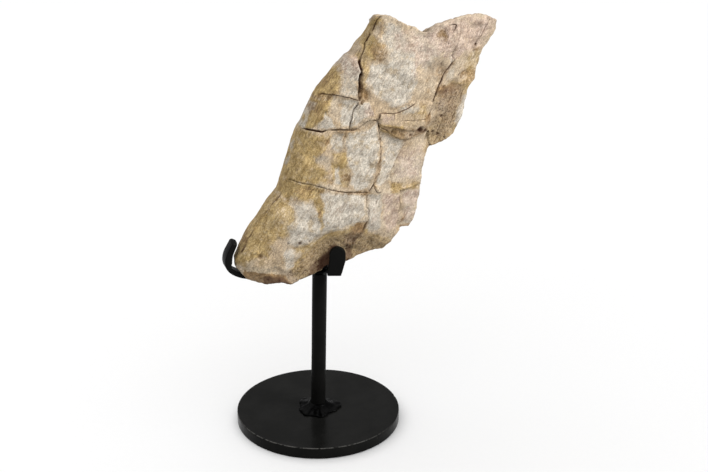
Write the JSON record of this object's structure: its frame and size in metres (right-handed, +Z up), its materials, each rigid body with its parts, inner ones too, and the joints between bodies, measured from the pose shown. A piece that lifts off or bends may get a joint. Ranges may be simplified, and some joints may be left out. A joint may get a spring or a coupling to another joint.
{
  "type": "fossil rib section on display stand",
  "caption": "Flat section of fossil sauropod rib held upright in a black welded steel cradle on a rod and a round base plate.",
  "frame": {"origin": "centre of the base disc's underside, on the surface that the stand rests on", "axes": "+Z up along the rod, -Y out of the rib's show face, +X to the right as the show face is seen"},
  "size_m": [0.1774, 0.108, 0.275],
  "materials": {
    "black_paint": "satin black paint on steel",
    "weld_paint": "glossy black paint pooled on a lumpy weld",
    "fossil_bone": "dry cracked fossil bone, tan with pale worn patches"
  },
  "bodies": {
    "root": {"base_disc": "black_paint", "foot_weld": "weld_paint", "rod": "black_paint", "top_weld": "weld_paint", "claw_bar": "black_paint", "prong_strip": "black_paint", "rib": "fossil_bone"}
  },
  "joints": []
}
